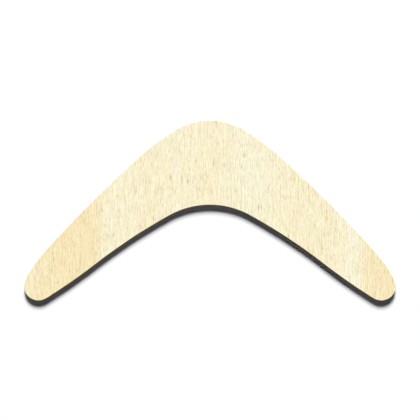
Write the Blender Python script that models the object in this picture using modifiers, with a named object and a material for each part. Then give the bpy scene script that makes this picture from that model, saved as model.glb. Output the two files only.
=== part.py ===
"""Boomerang: a flat blank cut from five-ply beech plywood, modelled as its veneers and the glue between them.

Metres, +Z up. The board lies on its back veneer. The origin is the middle of its outline's box, at the underside.
The tips point along -X and +X, the nose of the bend points along +Y, and the grain of the face runs along Y.
"""

import math

import bmesh
import bpy

# Driving dimensions
SPAN = 0.300  # tip to tip
BOARD_THICKNESS = 0.0050
GLUE_THICKNESS = 0.0001
PLIES = 5
EASED_RIM = 0.0005  # rounding that sandpaper leaves on the board's upper and lower rims

PLY_THICKNESS = (BOARD_THICKNESS - (PLIES - 1) * GLUE_THICKNESS) / PLIES

# The right half of the outline is a chain of tangent arcs, from the nose round the tip to the inside of the bend.
# Each has its radius, and the direction that the edge has at its end, in degrees clockwise from +X. The two long,
# nearly straight arcs have no radius of their own: the span and the centreline set them.
LEADING_EDGE = "leading edge"
TRAILING_EDGE = "trailing edge"
OUTLINE = (
    ("nose", 0.0520, 30.0),
    ("shoulder", 0.1760, 41.7),
    (LEADING_EDGE, None, 48.3),
    ("run-in to the tip", 0.0970, 63.6),
    ("tip", 0.01175, 211.7),
    (TRAILING_EDGE, None, 217.8),
    ("flare of the bend", 0.4600, 208.9),
    ("inside of the bend", 0.0670, 180.0),
)
TIP_EXTREME = 90.0  # the edge's direction where the tip reaches furthest along X

# Facets and rounding
CHORD_ERROR = 0.00002  # how far a facet of the outline may lie from its arc
RIM_SEGMENTS = 2
WELD_DISTANCE = 0.000001
FLAT_ANGLE = math.radians(0.1)
SHARP_ANGLE = math.radians(40)
RIM_GROUP = "rim"

# Finishes: colour and roughness
LONG_GRAIN_BEECH = ((0.90, 0.81, 0.58, 1.0), 0.62)
CROSS_GRAIN_BEECH = ((0.74, 0.60, 0.40, 1.0), 0.72)
RESIN = ((0.24, 0.13, 0.06, 1.0), 0.45)

# The board from the underside up. The grain of the veneers runs along Y, and that of the crossbands along X.
LAYERS = (
    ("back_veneer", PLY_THICKNESS, LONG_GRAIN_BEECH),
    ("back_glue_line", GLUE_THICKNESS, RESIN),
    ("lower_crossband", PLY_THICKNESS, CROSS_GRAIN_BEECH),
    ("lower_core_glue_line", GLUE_THICKNESS, RESIN),
    ("core_veneer", PLY_THICKNESS, LONG_GRAIN_BEECH),
    ("upper_core_glue_line", GLUE_THICKNESS, RESIN),
    ("upper_crossband", PLY_THICKNESS, CROSS_GRAIN_BEECH),
    ("face_glue_line", GLUE_THICKNESS, RESIN),
    ("face_veneer", PLY_THICKNESS, LONG_GRAIN_BEECH),
)


def clear_scene():
    for obj in list(bpy.data.objects):
        bpy.data.objects.remove(obj, do_unlink=True)


def arc_run(radius, start, end):
    """The X and Y that an arc covers while the edge turns from one direction to another."""
    signed_radius = math.copysign(radius, end - start)
    first, last = math.radians(start), math.radians(end)
    return (
        signed_radius * (math.sin(last) - math.sin(first)),
        signed_radius * (math.cos(last) - math.cos(first)),
    )


def solve_arcs():
    """The outline's arcs by name, each a radius and its first and last direction, with both open radii worked out."""
    arcs = {}
    start = 0.0
    for name, radius, end in OUTLINE:
        arcs[name] = (radius, start, end)
        start = end

    def close(name, distance):
        _, first, last = arcs[name]
        unit_run, _ = arc_run(1.0, first, last)
        arcs[name] = (distance / unit_run, first, last)

    to_tip = sum(
        arc_run(radius, first, min(last, TIP_EXTREME))[0]
        for radius, first, last in arcs.values()
        if radius and first < TIP_EXTREME
    )
    close(LEADING_EDGE, SPAN / 2 - to_tip)
    past_centreline = sum(arc_run(*arc)[0] for arc in arcs.values() if arc[0])
    close(TRAILING_EDGE, -past_centreline)
    return arcs


def outline_points():
    """The whole outline, clockwise from the nose, centred on the middle of its box."""
    x, y = 0.0, 0.0
    right = [(x, y)]
    for radius, start, end in solve_arcs().values():
        widest_turn = math.degrees(2 * math.acos(1 - CHORD_ERROR / radius))
        steps = math.ceil(abs(end - start) / widest_turn)
        turn = (end - start) / steps
        for i in range(steps):
            dx, dy = arc_run(radius, start + i * turn, start + (i + 1) * turn)
            x, y = x + dx, y + dy
            right.append((x, y))
    left = [(-px, py) for px, py in reversed(right[1:-1])]
    right[-1] = (0.0, y)
    points = right + left
    middle = (max(py for _, py in points) + min(py for _, py in points)) / 2
    return [(px, py - middle) for px, py in points]


def filled_curve(name, points, height):
    """A flat closed 2D curve, extruded by half the height each way."""
    curve = bpy.data.curves.new(name, "CURVE")
    curve.dimensions = "2D"
    curve.fill_mode = "BOTH"
    curve.extrude = height / 2
    spline = curve.splines.new("POLY")
    spline.points.add(len(points) - 1)
    for spline_point, (x, y) in zip(spline.points, points):
        spline_point.co = (x, y, 0.0, 1.0)
    spline.use_cyclic_u = True
    return curve


def layer_mesh(name, points, bottom, top):
    """The filled curve as a closed mesh, with one face a side, between two heights of the board."""
    curve = filled_curve(name, points, top - bottom)
    guide = bpy.data.objects.new(name + "_guide", curve)
    bpy.context.scene.collection.objects.link(guide)
    graph = bpy.context.evaluated_depsgraph_get()
    mesh = bpy.data.meshes.new_from_object(guide.evaluated_get(graph))
    bpy.data.objects.remove(guide, do_unlink=True)
    bpy.data.curves.remove(curve)

    # Neighbours share a plane, so each corner takes the stack's own height and both layers hold the same number.
    for vertex in mesh.vertices:
        vertex.co.z = top if vertex.co.z > 0 else bottom
    shape = bmesh.new()
    shape.from_mesh(mesh)
    bmesh.ops.remove_doubles(shape, verts=shape.verts, dist=WELD_DISTANCE)
    bmesh.ops.dissolve_limit(shape, angle_limit=FLAT_ANGLE, verts=shape.verts, edges=shape.edges)
    bmesh.ops.recalc_face_normals(shape, faces=shape.faces)
    shape.to_mesh(mesh)
    shape.free()
    mesh.name = name
    return mesh


def finish_material(name, finish):
    colour, roughness = finish
    material = bpy.data.materials.new(name)
    material.use_nodes = True
    shader = material.node_tree.nodes["Principled BSDF"]
    shader.inputs["Base Color"].default_value = colour
    shader.inputs["Roughness"].default_value = roughness
    shader.inputs["Metallic"].default_value = 0.0
    return material


def ease_rim(layer, height):
    """Rounds the rim of an outer veneer at the board's own face."""
    rim = layer.vertex_groups.new(name=RIM_GROUP)
    at_face = [v.index for v in layer.data.vertices if abs(v.co.z - height) < WELD_DISTANCE]
    rim.add(at_face, 1.0, "REPLACE")
    bevel = layer.modifiers.new("eased_rim", "BEVEL")
    bevel.limit_method = "VGROUP"
    bevel.vertex_group = RIM_GROUP
    bevel.width = EASED_RIM
    bevel.segments = RIM_SEGMENTS


def build():
    clear_scene()
    board = bpy.data.collections.new("boomerang")
    bpy.context.scene.collection.children.link(board)
    points = outline_points()
    height = 0.0
    for name, thickness, finish in LAYERS:
        layer = bpy.data.objects.new(name, layer_mesh(name, points, height, height + thickness))
        layer.data.materials.append(finish_material(name, finish))
        layer.data.shade_smooth()
        layer.data.set_sharp_from_angle(angle=SHARP_ANGLE)
        board.objects.link(layer)
        height += thickness
    ease_rim(board.objects["back_veneer"], 0.0)
    ease_rim(board.objects["face_veneer"], height)


build()
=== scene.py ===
"""Boomerang: the looks of a plain five-ply beech board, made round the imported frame.

Each ply and each film of glue between them is a piece of its own, with the cut edge, the eased rims and the
grain that sanded beech plywood shows. The board lies on a white table, under a soft key light, a low fill
light and a dim, even room light. Metres, +Z up.
"""

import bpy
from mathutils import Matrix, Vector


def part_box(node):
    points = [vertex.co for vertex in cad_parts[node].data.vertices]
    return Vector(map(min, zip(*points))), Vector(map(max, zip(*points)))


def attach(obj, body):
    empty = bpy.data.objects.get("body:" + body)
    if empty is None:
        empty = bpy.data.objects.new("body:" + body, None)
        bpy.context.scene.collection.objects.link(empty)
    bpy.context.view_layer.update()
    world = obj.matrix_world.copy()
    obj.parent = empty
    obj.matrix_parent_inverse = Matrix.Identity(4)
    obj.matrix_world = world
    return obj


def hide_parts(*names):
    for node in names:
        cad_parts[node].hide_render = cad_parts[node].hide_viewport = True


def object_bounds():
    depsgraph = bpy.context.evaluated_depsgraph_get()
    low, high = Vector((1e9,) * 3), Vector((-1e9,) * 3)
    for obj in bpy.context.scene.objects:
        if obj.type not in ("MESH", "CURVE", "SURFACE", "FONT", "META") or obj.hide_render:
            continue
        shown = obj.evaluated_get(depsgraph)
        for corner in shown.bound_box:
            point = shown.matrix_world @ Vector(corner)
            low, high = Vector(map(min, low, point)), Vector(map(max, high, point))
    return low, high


bl_info = {
    "name": "Beech plywood boomerang",
    "version": (1, 0, 0),
    "blender": (4, 5, 0),
    "location": "View3D > Sidebar > Boomerang",
    "description": "Builds the plies, the glue lines and the stage of a flat plywood boomerang",
    "category": "Object",
}

import math
from typing import NamedTuple

import bmesh
import bpy
import numpy as np
from mathutils import Euler, Vector, noise

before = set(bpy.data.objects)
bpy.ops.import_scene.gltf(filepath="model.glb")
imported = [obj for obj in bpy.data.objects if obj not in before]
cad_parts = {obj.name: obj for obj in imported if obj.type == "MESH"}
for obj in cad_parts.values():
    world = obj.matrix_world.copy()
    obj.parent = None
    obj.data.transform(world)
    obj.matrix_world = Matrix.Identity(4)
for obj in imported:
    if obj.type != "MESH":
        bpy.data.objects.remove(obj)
CAD_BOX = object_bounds()

BODY = "root"
MM = 0.001

# The layers, from the underside up
BACK_VENEER = "back_veneer"
CORE_VENEER = "core_veneer"
FACE_VENEER = "face_veneer"
CROSSBANDS = ("lower_crossband", "upper_crossband")
GLUE_LINES = ("back_glue_line", "lower_core_glue_line", "upper_core_glue_line", "face_glue_line")

BOARD_LOW, BOARD_HIGH = CAD_BOX
SPAN = BOARD_HIGH.x - BOARD_LOW.x
BOARD_TOP = BOARD_HIGH.z

TOLERANCE = 0.000001  # places nearer to each other than this are one place
SHARP_ANGLE = math.radians(40)


# --------------------------------------------------------------------------------------------------
# Settings
# --------------------------------------------------------------------------------------------------


class BoardSettings(bpy.types.PropertyGroup):
    """How finely the board is made, and how the saw and the sandpaper left it."""

    point_spacing: bpy.props.FloatProperty(
        name="Point spacing",
        description="Distance between the points along the outline",
        default=0.45 * MM,
        min=0.1 * MM,
        unit="LENGTH",
    )
    face_cell: bpy.props.FloatProperty(
        name="Face cell",
        description="Side of the squares that the two faces are divided into",
        default=2.0 * MM,
        min=0.5 * MM,
        unit="LENGTH",
    )
    eased_rim: bpy.props.FloatProperty(
        name="Eased rim",
        description="Mean radius that sandpaper leaves on the upper and lower rims",
        default=0.32 * MM,
        min=0.05 * MM,
        unit="LENGTH",
    )
    rim_variation: bpy.props.FloatProperty(
        name="Rim variation",
        description="How much the eased radius varies round the board",
        default=0.07 * MM,
        min=0.0,
        unit="LENGTH",
    )
    saw_wander: bpy.props.FloatProperty(
        name="Saw wander",
        description="How far the sawn edge wanders to each side of its line",
        default=0.03 * MM,
        min=0.0,
        unit="LENGTH",
    )
    fibre_tear: bpy.props.FloatProperty(
        name="Fibre tear",
        description="How far the edge of a single layer stands in or out of its neighbours",
        default=0.014 * MM,
        min=0.0,
        unit="LENGTH",
    )
    glue_recess: bpy.props.FloatProperty(
        name="Glue recess",
        description="How far the glue lines lie behind the edges of the plies",
        default=0.06 * MM,
        min=0.0,
        unit="LENGTH",
    )
    face_relief: bpy.props.FloatProperty(
        name="Face relief",
        description="Depth of the shallow hollows that sanding leaves along the grain",
        default=0.012 * MM,
        min=0.0,
        unit="LENGTH",
    )


class BeechSettings(bpy.types.PropertyGroup):
    """The colours of the wood and of the glue."""

    pale: bpy.props.FloatVectorProperty(
        name="Pale beech",
        description="The palest band of the face",
        default=(0.748, 0.706, 0.519),
        size=3,
        subtype="COLOR",
    )
    cream: bpy.props.FloatVectorProperty(
        name="Cream beech",
        description="The colour of most of the face",
        default=(0.748, 0.687, 0.490),
        size=3,
        subtype="COLOR",
    )
    warm: bpy.props.FloatVectorProperty(
        name="Warm beech",
        description="The more orange wood of the two tips",
        default=(0.738, 0.624, 0.380),
        size=3,
        subtype="COLOR",
    )
    fleck: bpy.props.FloatVectorProperty(
        name="Ray fleck",
        description="The short brown flecks that mark beech",
        default=(0.400, 0.290, 0.150),
        size=3,
        subtype="COLOR",
    )
    end_grain: bpy.props.FloatVectorProperty(
        name="End grain",
        description="The wood where a ply is cut across its grain",
        default=(0.370, 0.260, 0.145),
        size=3,
        subtype="COLOR",
    )
    side_grain: bpy.props.FloatVectorProperty(
        name="Side grain",
        description="The wood where a ply is cut along its grain",
        default=(0.580, 0.460, 0.290),
        size=3,
        subtype="COLOR",
    )
    glue: bpy.props.FloatVectorProperty(
        name="Glue",
        description="The cured resin between the plies",
        default=(0.150, 0.075, 0.032),
        size=3,
        subtype="COLOR",
    )


class StageSettings(bpy.types.PropertyGroup):
    """The table, the lights and the camera."""

    table_reach: bpy.props.FloatProperty(
        name="Table reach",
        description="How far the white table reaches to each side",
        default=16.0,
        min=1.0,
        unit="LENGTH",
    )
    key_height: bpy.props.FloatProperty(
        name="Key height",
        description="Angle of the key light above the table",
        default=math.radians(36.4),
        unit="ROTATION",
    )
    key_spread: bpy.props.FloatProperty(
        name="Key spread",
        description="Angle that the key light takes up, seen from the board",
        default=math.radians(22),
        unit="ROTATION",
    )
    key_strength: bpy.props.FloatProperty(
        name="Key strength",
        description="Strength of the key light",
        default=6.64,
        min=0.0,
    )
    fill_height: bpy.props.FloatProperty(
        name="Fill height",
        description="Angle of the low fill light above the table",
        default=math.radians(4),
        unit="ROTATION",
    )
    fill_spread: bpy.props.FloatProperty(
        name="Fill spread",
        description="Angle that the fill light takes up, seen from the board",
        default=math.radians(8),
        unit="ROTATION",
    )
    fill_strength: bpy.props.FloatProperty(
        name="Fill strength",
        description="Strength of the low fill light",
        default=0.6,
        min=0.0,
    )
    room_light: bpy.props.FloatProperty(
        name="Room light",
        description="Brightness of the light that comes from all round",
        default=0.05,
        min=0.0,
    )
    lens: bpy.props.FloatProperty(
        name="Lens",
        description="Focal length of the camera, in millimetres",
        default=200.0,
        min=1.0,
    )
    span_share: bpy.props.FloatProperty(
        name="Span share",
        description="Share of the picture's width that the board's span takes",
        default=0.886,
        min=0.1,
        max=1.0,
    )
    off_centre: bpy.props.FloatVectorProperty(
        name="Off centre",
        description="How far the camera's aim lies from the middle of the board, to the right and upwards",
        default=(0.12 * MM, 0.30 * MM),
        size=2,
        unit="LENGTH",
    )


# --------------------------------------------------------------------------------------------------
# The outline
# --------------------------------------------------------------------------------------------------

EDGE_STEEPNESS = 0.5  # a face whose normal has less Z than this belongs to the cut edge
WAVES = 24  # sine waves that make up one wandering line


def frame_outline():
    """The corners of the board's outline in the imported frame, clockwise from the nose."""
    shape = bmesh.new()
    shape.from_mesh(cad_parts[CORE_VENEER].data)
    bmesh.ops.remove_doubles(shape, verts=shape.verts, dist=TOLERANCE)
    shape.normal_update()
    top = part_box(CORE_VENEER)[1].z

    def on_rim(edge):
        at_top = all(abs(corner.co.z - top) < TOLERANCE for corner in edge.verts)
        return at_top and any(abs(face.normal.z) < EDGE_STEEPNESS for face in edge.link_faces)

    rim = [edge for edge in shape.edges if on_rim(edge)]
    neighbours = {}
    for edge in rim:
        first, second = edge.verts
        neighbours.setdefault(first, []).append(second)
        neighbours.setdefault(second, []).append(first)
    nose = max(neighbours, key=lambda corner: corner.co.y)
    previous, current = nose, max(neighbours[nose], key=lambda corner: corner.co.x)
    corners = [nose.co.xy.copy()]
    while current is not nose:
        corners.append(current.co.xy.copy())
        following = [corner for corner in neighbours[current] if corner is not previous]
        previous, current = current, following[0]
    shape.free()
    if len(corners) != len(neighbours):
        raise RuntimeError("the packed core veneer has no single closed outline")
    return np.array(corners)


def rounded(corners, spacing):
    """Points about one spacing apart on the smooth closed curve, a cubic Hermite one, through the corners."""
    chords = np.roll(corners, -1, axis=0) - corners
    lengths = np.linalg.norm(chords, axis=1)[:, None]
    ways = chords / lengths
    ways_before, lengths_before = np.roll(ways, 1, axis=0), np.roll(lengths, 1, axis=0)
    tangents = ways_before * lengths + ways * lengths_before
    tangents /= np.linalg.norm(tangents, axis=1)[:, None]
    points = []
    for i, corner in enumerate(corners):
        following = (i + 1) % len(corners)
        steps = math.ceil(lengths[i, 0] / spacing)
        for t in np.arange(steps) / steps:
            rise = t * t * (3 - 2 * t)
            leave = t * (1 - t) ** 2 * lengths[i]
            arrive = t * t * (t - 1) * lengths[i]
            points.append(corner + rise * chords[i] + leave * tangents[i] + arrive * tangents[following])
    return np.array(points)


class Outline:
    """The board's outline as points, each with its way into the wood and its share of the way round."""

    def __init__(self, spacing):
        self.points = rounded(frame_outline(), spacing)
        along = np.roll(self.points, -1, axis=0) - np.roll(self.points, 1, axis=0)
        along /= np.linalg.norm(along, axis=1)[:, None]
        self.inward = np.column_stack((along[:, 1], -along[:, 0]))
        steps = np.linalg.norm(np.roll(self.points, -1, axis=0) - self.points, axis=1)
        self.length = steps.sum()
        self.share = np.concatenate(([0.0], np.cumsum(steps)[:-1])) / self.length

    def wander(self, seed, longest, shortest, size):
        """A random line round the board that closes on itself and goes up to its size each way."""
        random = np.random.default_rng(seed)
        cycles = random.integers(int(self.length / longest), int(self.length / shortest), WAVES)
        turns = np.outer(self.share, cycles) + random.random(WAVES)
        line = np.sin(2 * math.pi * turns).sum(axis=1)
        return line / np.abs(line).max() * size

    def ring(self, inset):
        """The outline moved into the wood by an inset, which may differ from point to point."""
        return self.points + self.inward * np.broadcast_to(inset, len(self.points))[:, None]


# --------------------------------------------------------------------------------------------------
# Meshes
# --------------------------------------------------------------------------------------------------

CLEARANCE = 0.03 * MM  # keeps the rounded outline behind the frame's own facets
RIM_STEPS = 6
RIM_COLLAR = 0.15 * MM  # a narrow flat ring, so that the rim's shading ends where the rim does
GROOVE_HEIGHT = 0.07 * MM
PLY_GROOVE = 0.035 * MM  # how far a ply's edge steps back where it meets the glue
PLY_CROWN = PLY_GROOVE / 4  # how far the middle of its edge stands out
HOLLOW_WIDTH = 9 * MM  # the shallow hollows of the two faces
HOLLOW_LENGTH = 60 * MM

# The longest and the shortest wave of each line that wanders round the board, and the seeds of two of them
SAW_WAVES = {"longest": 60 * MM, "shortest": 9 * MM}
FIBRE_WAVES = {"longest": 9 * MM, "shortest": 2 * MM}
RIM_WAVES = {"longest": 200 * MM, "shortest": 25 * MM}
SAW_SEED = 1  # all the layers were sawn in one cut
RIM_SEED = 50  # added to a ply's own seed


def edge_insets(outline, board, layer_seed):
    """How far each point of one layer's cut edge lies inside the outline."""
    saw = outline.wander(SAW_SEED, **SAW_WAVES, size=board.saw_wander)
    fibres = outline.wander(layer_seed, **FIBRE_WAVES, size=board.fibre_tear)
    return CLEARANCE + board.saw_wander + board.fibre_tear + saw + fibres


def layer_heights(node):
    low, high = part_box(node)
    return low.z, high.z


def inner_ply_rings(node, insets):
    """Cut edge of an inner ply: slightly crowned, with a fine groove along each line of glue."""
    low, high = layer_heights(node)
    groove = insets + PLY_GROOVE
    middle = (low + high) / 2
    return [
        (groove, low),
        (insets, low + GROOVE_HEIGHT),
        (insets - PLY_CROWN, middle),
        (insets, high - GROOVE_HEIGHT),
        (groove, high),
    ]


def outer_ply_rings(node, insets, ease):
    """Cut edge of an outer ply from its glue line to the board's face, with a rounded rim at the face."""
    low, high = layer_heights(node)
    up = high >= BOARD_TOP - TOLERANCE
    glue, face, outward = (low, high, 1) if up else (high, low, -1)
    rings = [(insets + PLY_GROOVE, glue), (insets, glue + outward * GROOVE_HEIGHT)]
    for step in range(RIM_STEPS + 1):
        turn = math.pi / 2 * step / RIM_STEPS
        rings.append((insets + ease * (1 - math.cos(turn)), face - outward * ease * (1 - math.sin(turn))))
    rings.append((insets + ease + RIM_COLLAR, face))
    return rings if up else rings[::-1]


def glue_rings(node, insets, recess):
    """Cut edge of a film of glue: a shallow hollow between two plies."""
    low, high = layer_heights(node)
    return [(insets + recess / 2, low), (insets + recess, (low + high) / 2), (insets + recess / 2, high)]


def ring_mesh(name, outline, rings):
    """A closed mesh with the rings from bottom to top as its cut edge, and one face at each end."""
    count = len(outline.points)
    corners = []
    for inset, height in rings:
        flat = outline.ring(inset)
        corners.extend(np.column_stack((flat, np.broadcast_to(height, count))).tolist())
    faces = []
    for ring in range(len(rings) - 1):
        for i in range(count):
            j = (i + 1) % count
            here, above = ring * count, (ring + 1) * count
            faces.append((here + j, here + i, above + i, above + j))
    faces.append(tuple(range(count)))
    faces.append(tuple(reversed(range((len(rings) - 1) * count, len(rings) * count))))
    mesh = bpy.data.meshes.new(name)
    mesh.from_pydata(corners, [], faces)
    return mesh


def divide_cap(mesh, cap, cell):
    """Cuts one face of a mesh, given by its number, into squares."""
    shape = bmesh.new()
    shape.from_mesh(mesh)
    shape.faces.ensure_lookup_table()
    face = shape.faces[cap]
    region = [face, *face.edges, *face.verts]
    for axis in (0, 1):
        across = Vector((0, 0, 0))
        across[axis] = 1
        first_cut = BOARD_LOW[axis] + cell / 3  # off the middle, so that no cut runs through the nose's tip
        for cut in np.arange(first_cut, BOARD_HIGH[axis], cell):
            halves = bmesh.ops.bisect_plane(
                shape, geom=region, dist=TOLERANCE, plane_co=across * cut, plane_no=across
            )
            region = halves["geom"]
    shape.to_mesh(mesh)
    shape.free()


def press_relief(mesh, face_height, glue_height, depth):
    """Presses shallow hollows along the grain into the board's face, less and less towards the glue line."""
    for corner in mesh.vertices:
        place = Vector((corner.co.x / HOLLOW_WIDTH, corner.co.y / HOLLOW_LENGTH, face_height / MM))
        hollow = depth * (0.5 + 0.5 * noise.noise(place))
        share = (corner.co.z - glue_height) / (face_height - glue_height)
        corner.co.z += hollow * share * math.copysign(1, glue_height - face_height)


def add_piece(name, node, mesh, finish):
    """Adds a mesh as the piece that stands for a node of the frame, shaded smooth but for its sharp edges."""
    mesh.materials.append(finish)
    mesh.shade_smooth()
    mesh.set_sharp_from_angle(angle=SHARP_ANGLE)
    piece = bpy.data.objects.new(name, mesh)
    bpy.context.scene.collection.objects.link(piece)
    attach(piece, BODY)
    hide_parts(node)
    return piece


# --------------------------------------------------------------------------------------------------
# Shader maths
# --------------------------------------------------------------------------------------------------


def open_socket(sockets, key):
    """The socket of this name or place among those that the node's settings leave in use."""
    in_use = [socket for socket in sockets if socket.enabled]
    if isinstance(key, int):
        return in_use[key]
    return next(socket for socket in in_use if socket.name == key)


class Value:
    """One output of a node. Python's arithmetic on it adds Math nodes to the same tree."""

    def __init__(self, tree, socket):
        self.tree = tree
        self.socket = socket

    def output(self, name):
        """Another output of the same node."""
        return Value(self.tree, open_socket(self.socket.node.outputs, name))

    def math(self, operation, *others):
        """A Math node whose first input is this value."""
        return self.tree.node("Math", {"operation": operation}, dict(enumerate((self, *others))))

    def reflected(self, operation, first):
        """A Math node whose second input is this value."""
        return self.tree.node("Math", {"operation": operation}, {0: first, 1: self})

    def __add__(self, other):
        return self.math("ADD", other)

    def __sub__(self, other):
        return self.math("SUBTRACT", other)

    def __rsub__(self, other):
        return self.reflected("SUBTRACT", other)

    def __mul__(self, other):
        return self.math("MULTIPLY", other)

    def __truediv__(self, other):
        return self.math("DIVIDE", other)

    def __rtruediv__(self, other):
        return self.reflected("DIVIDE", other)

    def __pow__(self, other):
        return self.math("POWER", other)

    def __rpow__(self, other):
        return self.reflected("POWER", other)

    def __abs__(self):
        return self.math("ABSOLUTE")

    __radd__ = __add__
    __rmul__ = __mul__


class NodeTree:
    """A node tree while it is being written."""

    def __init__(self, tree):
        self.tree = tree
        tree.nodes.clear()

    def node(self, kind, settings=None, inputs=None, output=0):
        """Adds a node: first its settings, then a value or a link for each socket. Returns one output."""
        made = self.tree.nodes.new("ShaderNode" + kind)
        for name, setting in (settings or {}).items():
            if name == "stops":
                set_stops(made.color_ramp, setting)
            else:
                setattr(made, name, setting)
        for key, given in (inputs or {}).items():
            socket = open_socket(made.inputs, key)
            if isinstance(given, Value):
                self.tree.links.new(given.socket, socket)
            else:
                socket.default_value = given
        return Value(self, open_socket(made.outputs, output)) if made.outputs else None


class Finish(NodeTree):
    """A material while its nodes are being written."""

    def __init__(self, name):
        self.material = bpy.data.materials.new(name)
        self.material.use_nodes = True
        super().__init__(self.material.node_tree)

    def vector(self, x, y, z=0.0):
        return self.node("CombineXYZ", {}, {"X": x, "Y": y, "Z": z})

    def noise(self, place, detail=1.0, roughness=0.5):
        """Soft noise from 0 to 1, one unit of the place to a lump."""
        inputs = {"Vector": place, "Scale": 1.0, "Detail": detail, "Roughness": roughness}
        return self.node("TexNoise", {"noise_dimensions": "3D"}, inputs)

    def ramp(self, value, low, high):
        """0 at low, 1 at high, and a smooth rise between them."""
        inputs = {"Value": value, "From Min": low, "From Max": high}
        return self.node("MapRange", {"interpolation_type": "SMOOTHSTEP"}, inputs)

    def mix(self, share, first, second, blend="MIX"):
        settings = {"data_type": "RGBA", "blend_type": blend}
        return self.node("Mix", settings, {"Factor": share, "A": first, "B": second})

    def bump(self, height, distance):
        """The normal of a relief. A height of 1 stands out by this distance, in metres."""
        return self.node("Bump", {}, {"Strength": BUMP_STRENGTH, "Distance": distance, "Height": height})

    def surface(self, inputs):
        """Ends the material with its Principled shader."""
        shader = self.node("BsdfPrincipled", {}, inputs)
        self.node("OutputMaterial", {}, {"Surface": shader})
        return self.material


def set_stops(ramp, stops):
    """Gives a colour ramp its stops, each a place from 0 to 1 and a colour."""
    elements = ramp.elements
    while len(elements) < len(stops):
        elements.new(1.0)
    for element, (place, colour) in zip(elements, stops):
        element.position = place
        element.color = opaque(colour)


def opaque(colour):
    return (*colour, 1.0)


def blended(first, second, share):
    """A colour this share of the way from the first to the second."""
    return tuple(a + (b - a) * share for a, b in zip(first, second))


def warmed(colours, warmth):
    """Cream beech, turned towards warm beech from 0 to 1, or towards pale beech from 0 to -1."""
    return blended(colours.cream, colours.warm if warmth > 0 else colours.pale, abs(warmth))


# --------------------------------------------------------------------------------------------------
# Finishes
# --------------------------------------------------------------------------------------------------


class Streaks(NamedTuple):
    """Soft lines along the grain, about this wide and this long in millimetres."""

    width: float
    length: float
    strength: float
    detail: float = 0.0
    roughness: float = 0.5


class Flecks(NamedTuple):
    """Pointed spindles along the grain, up to this wide and this long in millimetres.

    They fill this share of the cells that they are strewn over. The shift keeps one kind off the next.
    """

    width: float
    length: float
    strength: float
    share: float
    shift: float


# Streaks that shade the wood
BROAD = Streaks(5.0, 120.0, strength=0.02, detail=1.0)
SOFT = Streaks(0.42, 3.8, strength=0.29)
DRAWN = Streaks(0.42, 12.0, strength=0.32)
LINES = Streaks(0.36, 45.0, strength=0.35, detail=1.0)
FIBRES = Streaks(0.18, 8.0, strength=0.20, detail=1.0)

# Patches that tint it: the pinkish ones take green from it, and the yellowish ones blue
PINKISH = Streaks(5.5, 16.0, strength=0.22, detail=3.0, roughness=0.9)
YELLOWISH = Streaks(6.5, 20.0, strength=0.36, detail=3.0, roughness=0.9)
RED_WITH_PINK = 0.5  # added for each part of green that is taken
BLUE_WITH_PINK = 0.4
GREEN_WITH_YELLOW = 0.3  # taken for each part of blue that is taken
BLUE_POWER = 1.6  # of the shade: the dark streaks are browner than the rest

# Ray flecks, from the smallest kind to the rarest
SPECKS = Flecks(0.45, 2.2, strength=0.55, share=0.45, shift=12.7)
SHORT_FLECKS = Flecks(0.50, 6.0, strength=0.60, share=0.50, shift=3.1)
LONG_FLECKS = Flecks(0.70, 9.5, strength=0.74, share=0.32, shift=6.4)
BOLD_FLECKS = Flecks(1.1, 11.0, strength=0.95, share=0.07, shift=9.7)
FLECK_WAIST = 0.8  # under 1, a fleck's sides curve in towards its points
FLECK_SCATTER = 0.9  # 0 sets them in rows, 1 strews them at random
FLECK_REACH = (0.26, 0.56)  # the smallest and the largest, in cells
FLECK_HEART = 0.3  # the share of its reach within which a fleck is darkest

# How far the grain sways sideways, and over what width and length, in millimetres
SWAY = 1.2
SWAY_WIDTH = 26
SWAY_LENGTH = 70
SEED_STEP = (31.7, 17.3)  # from one seed's pattern to the next, across the grain and along it

# How far the edge between two bands of colour wavers, and over what width and length, in millimetres
BAND_WAVER = 3.0
WAVER_WIDTH = 9
WAVER_LENGTH = 60

# The upright share of the surface's normal where the wood looks fully sawn, and where it looks fully sanded
SAWN = 0.15
SANDED = 0.75

# The share of the normal along the grain where an edge is cut along the grain, and where it is cut across
CUT_ALONG = 0.2
CUT_ACROSS = 0.9

# The sawn edge, in millimetres: the lines left by the saw, and the wood that has soaked up resin
SAW_LINE_PITCH = 0.35
SAW_LINE_LENGTH = 6
GLUE_HALF = 0.07  # the wood is full of resin this far from the middle of a glue line...
RESIN_SOAK = 0.26  # ...and clear of it this far out
RESIN_PATCH = 1.6
RESIN_BASE = 0.35  # added to the patches, so that none is without resin
RESIN_STRENGTH = 0.8
SAWN_FLECKS = 0.5  # strength of the ray flecks on the sawn edge

# Relief and gloss
BUMP_STRENGTH = 0.4
WOOD_BUMP = 0.05 * MM
GLUE_BUMP = 0.02 * MM
FLECK_DEPTH = 0.6
SAW_LINE_DEPTH = 0.6
WOOD_ROUGHNESS = 0.78
FLECK_POLISH = 0.15  # taken off on a fleck
SAWN_ROUGHNESS = 0.10  # added on the sawn edge
WOOD_SPECULAR = 0.12
GLUE_ROUGHNESS = 0.42
DUST_ROUGHNESS = 0.3  # added where wood dust lies

# The wood dust in the glue
DUST_PATCH = 1.5 * MM
DUST_RANGE = (0.45, 0.75)  # the noise at which the dust begins, and at which it is thickest
DUST_PALENESS = 0.55  # from the glue's colour to the side grain's


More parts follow.
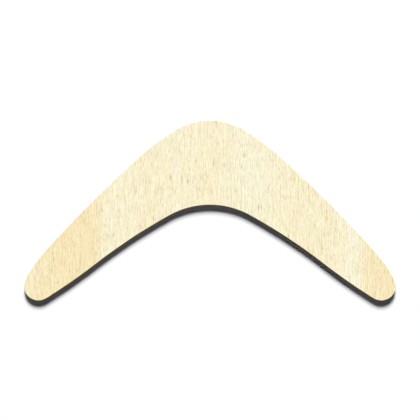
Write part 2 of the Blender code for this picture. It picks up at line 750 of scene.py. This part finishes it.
class Grain:
    """Places in a ply, in millimetres: x, y and z, and also across the grain and along it.

    up and end say how far the surface faces up or down, and how far it faces along the grain, from 0 to 1.
    """

    def __init__(self, finish, along_y, seed):
        place = finish.node("TexCoord", {}, {}, "Object")
        apart = finish.node("SeparateXYZ", {}, {0: place}, "X")
        facing = finish.node("SeparateXYZ", {}, {0: place.output("Normal")}, "X")
        self.finish = finish
        self.x = apart / MM
        self.y = apart.output("Y") / MM
        self.z = apart.output("Z") / MM
        across, along = (self.x, self.y) if along_y else (self.y, self.x)
        sway = finish.noise(finish.vector(across / SWAY_WIDTH + seed, along / SWAY_LENGTH, seed)) - 0.5
        self.across = across + sway * SWAY + SEED_STEP[0] * seed
        self.along = along + SEED_STEP[1] * seed
        self.up = abs(facing.output("Z"))
        self.end = abs(facing.output("Y") if along_y else facing)

    def streaks(self, kind):
        """One kind of streaks, from minus half its strength to half of it."""
        finish = self.finish
        place = finish.vector(self.across / kind.width, self.along / kind.length, self.z / kind.width)
        return (finish.noise(place, kind.detail, kind.roughness) - 0.5) * kind.strength

    def flecks(self, kind):
        """One kind of flecks, from 0 to its strength.

        They go straight through the ply, as the rays of the wood do.
        """
        finish = self.finish
        place = finish.vector(self.across / kind.width + kind.shift, self.along / kind.length + kind.shift)
        settings = {"voronoi_dimensions": "2D", "distance": "MINKOWSKI", "feature": "F1"}
        inputs = {"Vector": place, "Scale": 1.0, "Randomness": FLECK_SCATTER, "Exponent": FLECK_WAIST}
        cells = finish.node("TexVoronoi", settings, inputs, "Distance")
        dice = finish.node("SeparateColor", {}, {0: cells.output("Color")}, "Red")
        smallest, largest = FLECK_REACH
        reach = dice.output("Green") * (largest - smallest) + smallest
        spindle = finish.ramp(cells / reach, 1.0, FLECK_HEART)
        return spindle * finish.ramp(dice, 1.0 - kind.share, 1.0) * kind.strength


def beech_finish(name, colours, bands, along_y, seed, tone=1.0):
    """Sanded beech: streaks along the grain, ray flecks, and darker wood where the saw cut it."""
    finish = Finish(name)
    grain = Grain(finish, along_y, seed)

    broad, soft, drawn, lines, fibres = map(grain.streaks, (BROAD, SOFT, DRAWN, LINES, FIBRES))
    shade = broad + soft + drawn + lines + fibres + 1.0
    specks, short, long, bold = map(grain.flecks, (SPECKS, SHORT_FLECKS, LONG_FLECKS, BOLD_FLECKS))
    marks = specks + short + long + bold

    pinkish, yellowish = grain.streaks(PINKISH), grain.streaks(YELLOWISH)
    tint = finish.vector(
        shade + pinkish * RED_WITH_PINK,
        shade - pinkish - yellowish * GREEN_WITH_YELLOW,
        shade ** BLUE_POWER + pinkish * BLUE_WITH_PINK - yellowish,
    )
    face = finish.mix(1.0, banded(finish, grain, colours, bands), tint, "MULTIPLY")
    face = finish.mix(marks, face, opaque(colours.fleck))

    cut = finish.ramp(grain.up, SANDED, SAWN)
    sawn = sawn_edge(finish, grain, colours, shade * tone, marks)

    round_board = (grain.x / SAW_LINE_PITCH, grain.y / SAW_LINE_PITCH)
    saw_lines = finish.noise(finish.vector(*round_board, grain.z / SAW_LINE_LENGTH), detail=2.0)
    height = soft + fibres - marks * FLECK_DEPTH + saw_lines * cut * SAW_LINE_DEPTH
    return finish.surface({
        "Base Color": finish.mix(cut, face, sawn),
        "Roughness": WOOD_ROUGHNESS - marks * FLECK_POLISH + cut * SAWN_ROUGHNESS,
        "Specular IOR Level": WOOD_SPECULAR,
        "Normal": finish.bump(height, WOOD_BUMP),
    })


def banded(finish, grain, colours, bands):
    """The broad colours of a ply, in bands along Y, from low X to high X."""
    stops = [(x / SPAN + 0.5, warmed(colours, warmth)) for x, warmth in bands]
    waver = finish.noise(finish.vector(grain.x / WAVER_WIDTH, grain.y / WAVER_LENGTH, 0.0), detail=2.0) - 0.5
    place = (grain.x + waver * BAND_WAVER) * MM / SPAN + 0.5
    return finish.node("ValToRGB", {"stops": stops}, {"Fac": place})


def sawn_edge(finish, grain, colours, shade, marks):
    """The colour of a ply's cut edge: darker across the grain than along it, and browned by resin."""
    end = finish.ramp(grain.end, CUT_ALONG, CUT_ACROSS)
    sawn = finish.mix(end, opaque(colours.side_grain), opaque(colours.end_grain))
    sawn = finish.mix(1.0, sawn, finish.vector(shade, shade, shade), "MULTIPLY")
    sawn = finish.mix(marks * SAWN_FLECKS, sawn, opaque(colours.fleck))
    first, second = (sum(layer_heights(node)) / 2 / MM for node in GLUE_LINES[:2])
    from_glue = (grain.z - first).math("PINGPONG", (second - first) / 2)
    place = finish.vector(grain.x / RESIN_PATCH, grain.y / RESIN_PATCH, grain.z)
    soaked = finish.ramp(from_glue, RESIN_SOAK, GLUE_HALF) * (finish.noise(place, detail=2.0) + RESIN_BASE)
    return finish.mix(soaked * RESIN_STRENGTH, sawn, opaque(colours.glue))


def glue_finish(name, colours):
    """Cured resin seen on its cut edge: brown, slightly glossy, and paler where wood dust has filled it."""
    finish = Finish(name)
    place = finish.node("TexCoord", {}, {}, "Object")
    spread = finish.node("VectorMath", {"operation": "SCALE"}, {0: place, "Scale": 1 / DUST_PATCH})
    dust = finish.ramp(finish.noise(spread, detail=3.0, roughness=0.6), *DUST_RANGE)
    brown = opaque(colours.glue)
    dusty = opaque(blended(colours.glue, colours.side_grain, DUST_PALENESS))
    grit = finish.noise(spread, detail=4.0, roughness=0.7)
    return finish.surface({
        "Base Color": finish.mix(dust, brown, dusty),
        "Roughness": GLUE_ROUGHNESS + dust * DUST_ROUGHNESS,
        "Normal": finish.bump(grit, GLUE_BUMP),
    })


# --------------------------------------------------------------------------------------------------
# Pieces
# --------------------------------------------------------------------------------------------------

CROSSBAND_TONE = 0.80  # the inner plies laid across are cut from darker wood

# The seeds of the layers' own random shapes and patterns, or of the first of several like layers
FACE_SEED = 3
BACK_SEED = 7
CORE_SEED = 11
CROSSBAND_SEED = 17
GLUE_SEED = 23

# Bands of colour: places along X, each with how warm the wood is there, from -1, which is pale, through 0,
# which is cream, to 1, which is warm. The face has warm tips and a pale band near each end of its right arm,
# and its right tip begins at a sharp line.
FACE_BANDS = (
    (-0.150, 0.40),
    (-0.136, 0.90),
    (-0.128, 1.00),
    (-0.094, 1.00),
    (-0.083, 0.00),
    (-0.045, 0.22),
    (-0.030, 0.00),
    (0.006, 0.22),
    (0.032, -1.00),
    (0.070, 0.22),
    (0.100, 0.22),
    (0.112, -1.00),
    (0.1225, 0.00),
    (0.1245, 0.75),
    (0.150, 0.85),
)
PLAIN_BANDS = ((-0.150, 1.00), (-0.050, 0.00), (0.050, 1.00), (0.150, 0.00))


def outer_ply(context, node, slot, bands, seed):
    """Makes one of the two outer plies, with its eased rim, its divided face and its relief."""
    board, colours = context.scene.boomerang_board, context.scene.boomerang_beech
    outline = Outline(board.point_spacing)
    ease = board.eased_rim + outline.wander(seed + RIM_SEED, **RIM_WAVES, size=board.rim_variation)
    rings = outer_ply_rings(node, edge_insets(outline, board, seed), ease)
    mesh = ring_mesh(node + "_sanded", outline, rings)
    low, high = layer_heights(node)
    face, glue = (high, low) if high >= BOARD_TOP - TOLERANCE else (low, high)
    lower_cap, upper_cap = len(mesh.polygons) - 2, len(mesh.polygons) - 1
    divide_cap(mesh, upper_cap if face > glue else lower_cap, board.face_cell)
    press_relief(mesh, face, glue, board.face_relief)
    finish = beech_finish(slot, colours, bands, along_y=True, seed=seed)
    return add_piece(node + "_sanded", node, mesh, finish)


def inner_ply(context, node, finish, seed):
    """Makes a ply that shows only its cut edge."""
    board = context.scene.boomerang_board
    outline = Outline(board.point_spacing)
    rings = inner_ply_rings(node, edge_insets(outline, board, seed))
    return add_piece(node + "_sanded", node, ring_mesh(node + "_sanded", outline, rings), finish)


class BOOMERANG_OT_face_veneer(bpy.types.Operator):
    """Make the face veneer, with its grain, its ray flecks and its eased upper rim"""

    bl_idname = "boomerang.face_veneer"
    bl_label = "Face Veneer"
    bl_options = {"REGISTER", "UNDO"}

    def execute(self, context):
        outer_ply(context, FACE_VENEER, "face_beech", FACE_BANDS, FACE_SEED)
        return {"FINISHED"}


class BOOMERANG_OT_back_veneer(bpy.types.Operator):
    """Make the back veneer, which the board lies on, with its eased lower rim"""

    bl_idname = "boomerang.back_veneer"
    bl_label = "Back Veneer"
    bl_options = {"REGISTER", "UNDO"}

    def execute(self, context):
        outer_ply(context, BACK_VENEER, "back_beech", PLAIN_BANDS, BACK_SEED)
        return {"FINISHED"}


class BOOMERANG_OT_core_veneer(bpy.types.Operator):
    """Make the core veneer, whose grain runs the same way as that of the faces"""

    bl_idname = "boomerang.core_veneer"
    bl_label = "Core Veneer"
    bl_options = {"REGISTER", "UNDO"}

    def execute(self, context):
        colours = context.scene.boomerang_beech
        finish = beech_finish("core_beech", colours, PLAIN_BANDS, along_y=True, seed=CORE_SEED)
        inner_ply(context, CORE_VENEER, finish, CORE_SEED)
        return {"FINISHED"}


class BOOMERANG_OT_crossbands(bpy.types.Operator):
    """Make the two crossbands, whose grain runs from tip to tip"""

    bl_idname = "boomerang.crossbands"
    bl_label = "Crossbands"
    bl_options = {"REGISTER", "UNDO"}

    def execute(self, context):
        colours = context.scene.boomerang_beech
        finish = beech_finish(
            "crossband_beech", colours, PLAIN_BANDS, along_y=False, seed=CROSSBAND_SEED, tone=CROSSBAND_TONE
        )
        for seed, node in enumerate(CROSSBANDS, start=CROSSBAND_SEED):
            inner_ply(context, node, finish, seed)
        return {"FINISHED"}


class BOOMERANG_OT_glue_lines(bpy.types.Operator):
    """Make the four films of glue between the plies"""

    bl_idname = "boomerang.glue_lines"
    bl_label = "Glue Lines"
    bl_options = {"REGISTER", "UNDO"}

    def execute(self, context):
        board, colours = context.scene.boomerang_board, context.scene.boomerang_beech
        finish = glue_finish("resin_glue", colours)
        outline = Outline(board.point_spacing)
        for seed, node in enumerate(GLUE_LINES, start=GLUE_SEED):
            rings = glue_rings(node, edge_insets(outline, board, seed), board.glue_recess)
            add_piece(node + "_cured", node, ring_mesh(node + "_cured", outline, rings), finish)
        return {"FINISHED"}


# --------------------------------------------------------------------------------------------------
# Stage
# --------------------------------------------------------------------------------------------------

TABLE_CELLS = 8
CAMERA_REACH = 100.0  # the camera sees nothing further away than this
TABLE_WHITE = (0.80, 0.80, 0.80)
PURE_WHITE = (1.0, 1.0, 1.0)
ROOM_BLUE = (0.50, 0.68, 1.00)


def add_table(reach):
    """A plain white table top that the board lies on."""
    shape = bmesh.new()
    bmesh.ops.create_grid(shape, x_segments=TABLE_CELLS, y_segments=TABLE_CELLS, size=reach)
    mesh = bpy.data.meshes.new("table")
    shape.to_mesh(mesh)
    shape.free()
    finish = Finish("table_white")
    mesh.materials.append(finish.surface({
        "Base Color": opaque(TABLE_WHITE),
        "Roughness": 1.0,
        "Specular IOR Level": 0.0,
    }))
    table = bpy.data.objects.new("table", mesh)
    table.location.z = BOARD_LOW.z
    bpy.context.scene.collection.objects.link(table)


def add_lamp(name, from_y, height, spread, strength):
    """A soft distant lamp that shines along Y, from the +Y side or the -Y side."""
    light = bpy.data.lights.new(name, "SUN")
    light.energy = strength
    light.angle = spread
    lamp = bpy.data.objects.new(name, light)
    lamp.rotation_euler = Euler((-from_y * (math.pi / 2 - height), 0.0, 0.0))
    bpy.context.scene.collection.objects.link(lamp)


def set_room(strength):
    """White behind everything that the camera sees, and a dim, cool, even light from all round."""
    world = bpy.data.worlds.new("room")
    world.use_nodes = True
    room = NodeTree(world.node_tree)
    seen = room.node("Background", {}, {"Color": opaque(PURE_WHITE), "Strength": 1.0})
    lit = room.node("Background", {}, {"Color": opaque(ROOM_BLUE), "Strength": strength})
    seen_by_camera = room.node("LightPath", {}, {}, "Is Camera Ray")
    shown = room.node("MixShader", {}, {0: seen_by_camera, 1: lit, 2: seen})
    room.node("OutputWorld", {}, {"Surface": shown})
    bpy.context.scene.world = world


def add_camera(stage):
    """A camera straight above the board, with the nose of the bend at the top of its picture."""
    data = bpy.data.cameras.new("camera")
    data.lens = stage.lens
    camera = bpy.data.objects.new("camera", data)
    width = SPAN / stage.span_share
    middle = (BOARD_LOW + BOARD_HIGH) / 2
    right, up = stage.off_centre
    camera.location = (middle.x + right, middle.y + up, BOARD_TOP + width * data.lens / data.sensor_width)
    data.clip_end = CAMERA_REACH
    bpy.context.scene.collection.objects.link(camera)
    bpy.context.scene.camera = camera


class BOOMERANG_OT_stage(bpy.types.Operator):
    """Set the white table, the soft lights and the camera"""

    bl_idname = "boomerang.stage"
    bl_label = "Stage"
    bl_options = {"REGISTER", "UNDO"}

    def execute(self, context):
        stage = context.scene.boomerang_stage
        add_table(stage.table_reach)
        add_lamp("key", 1, stage.key_height, stage.key_spread, stage.key_strength)
        add_lamp("fill", -1, stage.fill_height, stage.fill_spread, stage.fill_strength)
        set_room(stage.room_light)
        add_camera(stage)
        context.scene.view_settings.view_transform = "Standard"
        return {"FINISHED"}


# --------------------------------------------------------------------------------------------------
# Panel and registration
# --------------------------------------------------------------------------------------------------

OPERATORS = (
    BOOMERANG_OT_back_veneer,
    BOOMERANG_OT_crossbands,
    BOOMERANG_OT_core_veneer,
    BOOMERANG_OT_face_veneer,
    BOOMERANG_OT_glue_lines,
    BOOMERANG_OT_stage,
)

SETTINGS = {
    "boomerang_board": BoardSettings,
    "boomerang_beech": BeechSettings,
    "boomerang_stage": StageSettings,
}


class BOOMERANG_PT_sidebar(bpy.types.Panel):
    """The boomerang's pieces and settings in the 3D view's sidebar"""

    bl_idname = "BOOMERANG_PT_sidebar"
    bl_label = "Boomerang"
    bl_space_type = "VIEW_3D"
    bl_region_type = "UI"
    bl_category = "Boomerang"

    def draw(self, context):
        for operator in OPERATORS:
            self.layout.operator(operator.bl_idname)
        for name, group in SETTINGS.items():
            box = self.layout.box()
            for setting in group.__annotations__:
                box.prop(getattr(context.scene, name), setting)


CLASSES = (*SETTINGS.values(), *OPERATORS, BOOMERANG_PT_sidebar)


def register():
    for each in CLASSES:
        bpy.utils.register_class(each)
    for name, group in SETTINGS.items():
        setattr(bpy.types.Scene, name, bpy.props.PointerProperty(type=group))


def unregister():
    for name in SETTINGS:
        delattr(bpy.types.Scene, name)
    for each in reversed(CLASSES):
        bpy.utils.unregister_class(each)


def main():
    register()
    for operator in OPERATORS:
        _, name = operator.bl_idname.split(".")
        getattr(bpy.ops.boomerang, name)()


if __name__ == "__main__":
    main()
